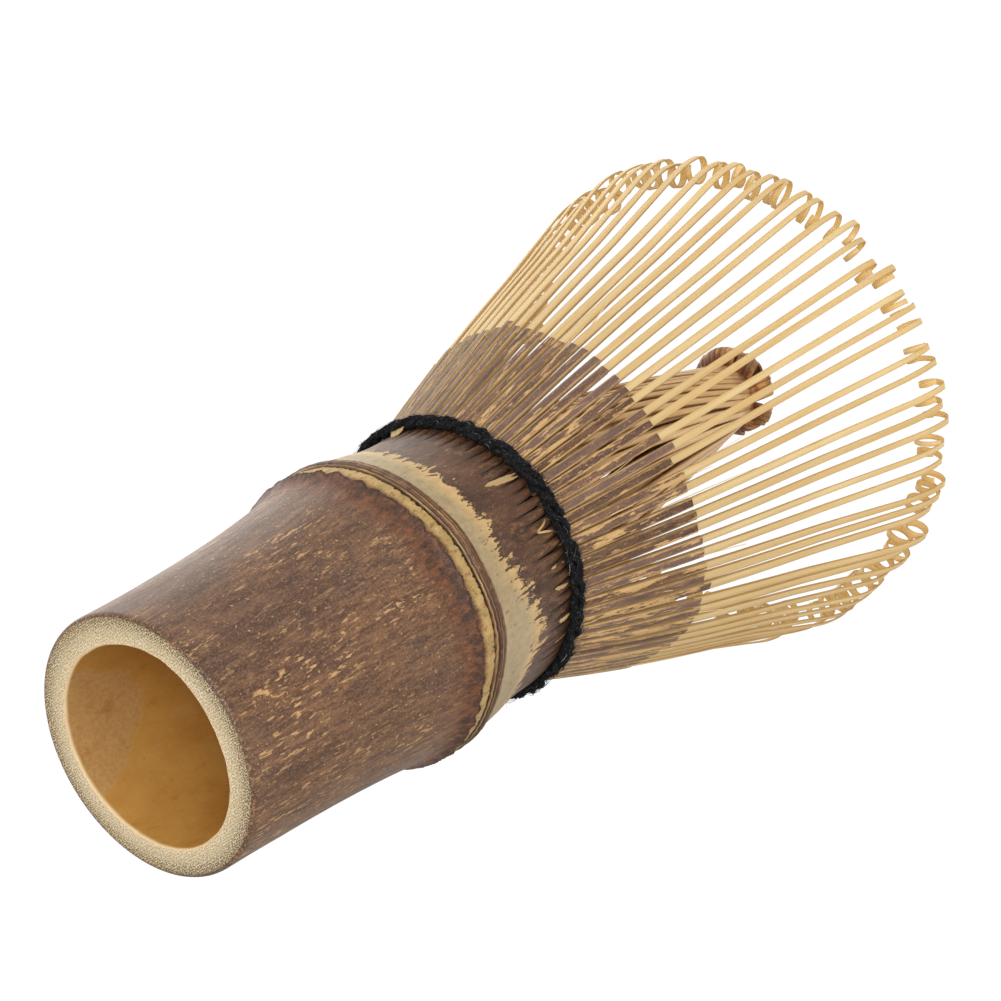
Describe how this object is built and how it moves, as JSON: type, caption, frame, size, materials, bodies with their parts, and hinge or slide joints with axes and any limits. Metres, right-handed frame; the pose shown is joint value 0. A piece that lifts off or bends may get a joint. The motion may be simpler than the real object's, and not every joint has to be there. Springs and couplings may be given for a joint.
{
  "type": "bamboo tea whisk",
  "caption": "Bamboo tea whisk standing on its hollow handle, with a flared ring of curled outer tines, a twisted inner core of tines and a dark binding thread at the neck.",
  "frame": {"origin": "centre of the open end of the handle, in the plane it stands on", "axes": "+Z along the whisk's axis from the handle to the tips; the core leans towards -Y"},
  "size_m": [0.062, 0.062, 0.106],
  "materials": {
    "smoked_skin": "smoked bamboo skin, dark brown with tan flecks, satin",
    "scar_band": "olive tan bamboo under the sheath scar, dull",
    "ridge_bark": "finely lined brown nodal ridge, satin",
    "neck_skin": "smoked bamboo skin with a waxy grey tan band, satin",
    "outer_tine_bamboo": "pale straw split bamboo, dark skin left on the lower third",
    "inner_tine_bamboo": "straw bamboo, twisted, orange brown at the curled ends",
    "cotton_thread": "near black cotton thread, matt and fuzzy"
  },
  "bodies": {
    "culm": {"handle": "smoked_skin", "sheath_scar": "scar_band", "nodal_ridge": "ridge_bark", "neck": "neck_skin", "weaving_thread": "cotton_thread", "binding_thread": "cotton_thread", "inner_tines_01": "inner_tine_bamboo", "inner_tines_02": "inner_tine_bamboo", "inner_tines_03": "inner_tine_bamboo", "inner_tines_04": "inner_tine_bamboo", "inner_tines_05": "inner_tine_bamboo", "inner_tines_06": "inner_tine_bamboo", "inner_tines_07": "inner_tine_bamboo", "inner_tines_08": "inner_tine_bamboo"},
    "tines_01": {"outer_tines_01": "outer_tine_bamboo"},
    "tines_02": {"outer_tines_02": "outer_tine_bamboo"},
    "tines_03": {"outer_tines_03": "outer_tine_bamboo"},
    "tines_04": {"outer_tines_04": "outer_tine_bamboo"},
    "tines_05": {"outer_tines_05": "outer_tine_bamboo"},
    "tines_06": {"outer_tines_06": "outer_tine_bamboo"},
    "tines_07": {"outer_tines_07": "outer_tine_bamboo"},
    "tines_08": {"outer_tines_08": "outer_tine_bamboo"},
    "tines_09": {"outer_tines_09": "outer_tine_bamboo"},
    "tines_10": {"outer_tines_10": "outer_tine_bamboo"},
    "tines_11": {"outer_tines_11": "outer_tine_bamboo"},
    "tines_12": {"outer_tines_12": "outer_tine_bamboo"},
    "tines_13": {"outer_tines_13": "outer_tine_bamboo"},
    "tines_14": {"outer_tines_14": "outer_tine_bamboo"},
    "tines_15": {"outer_tines_15": "outer_tine_bamboo"},
    "tines_16": {"outer_tines_16": "outer_tine_bamboo"}
  },
  "joints": [
    {"name": "flex_01", "type": "hinge", "parent": "culm", "child": "tines_01", "pos_m": [0.0149, 0, 0.049], "axis": [0, 1, 0], "range_deg": [-4, 4], "stiffness_Nm_per_rad": 0.014},
    {"name": "flex_02", "type": "hinge", "parent": "culm", "child": "tines_02", "pos_m": [0.01377, 0.0057, 0.049], "axis": [-0.3827, 0.9239, 0], "range_deg": [-4, 4], "stiffness_Nm_per_rad": 0.014},
    {"name": "flex_03", "type": "hinge", "parent": "culm", "child": "tines_03", "pos_m": [0.01054, 0.01054, 0.049], "axis": [-0.7071, 0.7071, 0], "range_deg": [-4, 4], "stiffness_Nm_per_rad": 0.014},
    {"name": "flex_04", "type": "hinge", "parent": "culm", "child": "tines_04", "pos_m": [0.0057, 0.01377, 0.049], "axis": [-0.9239, 0.3827, 0], "range_deg": [-4, 4], "stiffness_Nm_per_rad": 0.014},
    {"name": "flex_05", "type": "hinge", "parent": "culm", "child": "tines_05", "pos_m": [0, 0.0149, 0.049], "axis": [-1, 0, 0], "range_deg": [-4, 4], "stiffness_Nm_per_rad": 0.014},
    {"name": "flex_06", "type": "hinge", "parent": "culm", "child": "tines_06", "pos_m": [-0.0057, 0.01377, 0.049], "axis": [-0.9239, -0.3827, 0], "range_deg": [-4, 4], "stiffness_Nm_per_rad": 0.014},
    {"name": "flex_07", "type": "hinge", "parent": "culm", "child": "tines_07", "pos_m": [-0.01054, 0.01054, 0.049], "axis": [-0.7071, -0.7071, 0], "range_deg": [-4, 4], "stiffness_Nm_per_rad": 0.014},
    {"name": "flex_08", "type": "hinge", "parent": "culm", "child": "tines_08", "pos_m": [-0.01377, 0.0057, 0.049], "axis": [-0.3827, -0.9239, 0], "range_deg": [-4, 4], "stiffness_Nm_per_rad": 0.014},
    {"name": "flex_09", "type": "hinge", "parent": "culm", "child": "tines_09", "pos_m": [-0.0149, 0, 0.049], "axis": [0, -1, 0], "range_deg": [-4, 4], "stiffness_Nm_per_rad": 0.014},
    {"name": "flex_10", "type": "hinge", "parent": "culm", "child": "tines_10", "pos_m": [-0.01377, -0.0057, 0.049], "axis": [0.3827, -0.9239, 0], "range_deg": [-4, 4], "stiffness_Nm_per_rad": 0.014},
    {"name": "flex_11", "type": "hinge", "parent": "culm", "child": "tines_11", "pos_m": [-0.01054, -0.01054, 0.049], "axis": [0.7071, -0.7071, 0], "range_deg": [-4, 4], "stiffness_Nm_per_rad": 0.014},
    {"name": "flex_12", "type": "hinge", "parent": "culm", "child": "tines_12", "pos_m": [-0.0057, -0.01377, 0.049], "axis": [0.9239, -0.3827, 0], "range_deg": [-4, 4], "stiffness_Nm_per_rad": 0.014},
    {"name": "flex_13", "type": "hinge", "parent": "culm", "child": "tines_13", "pos_m": [0, -0.0149, 0.049], "axis": [1, 0, 0], "range_deg": [-4, 4], "stiffness_Nm_per_rad": 0.014},
    {"name": "flex_14", "type": "hinge", "parent": "culm", "child": "tines_14", "pos_m": [0.0057, -0.01377, 0.049], "axis": [0.9239, 0.3827, 0], "range_deg": [-4, 4], "stiffness_Nm_per_rad": 0.014},
    {"name": "flex_15", "type": "hinge", "parent": "culm", "child": "tines_15", "pos_m": [0.01054, -0.01054, 0.049], "axis": [0.7071, 0.7071, 0], "range_deg": [-4, 4], "stiffness_Nm_per_rad": 0.014},
    {"name": "flex_16", "type": "hinge", "parent": "culm", "child": "tines_16", "pos_m": [0.01377, -0.0057, 0.049], "axis": [0.3827, 0.9239, 0], "range_deg": [-4, 4], "stiffness_Nm_per_rad": 0.014}
  ]
}
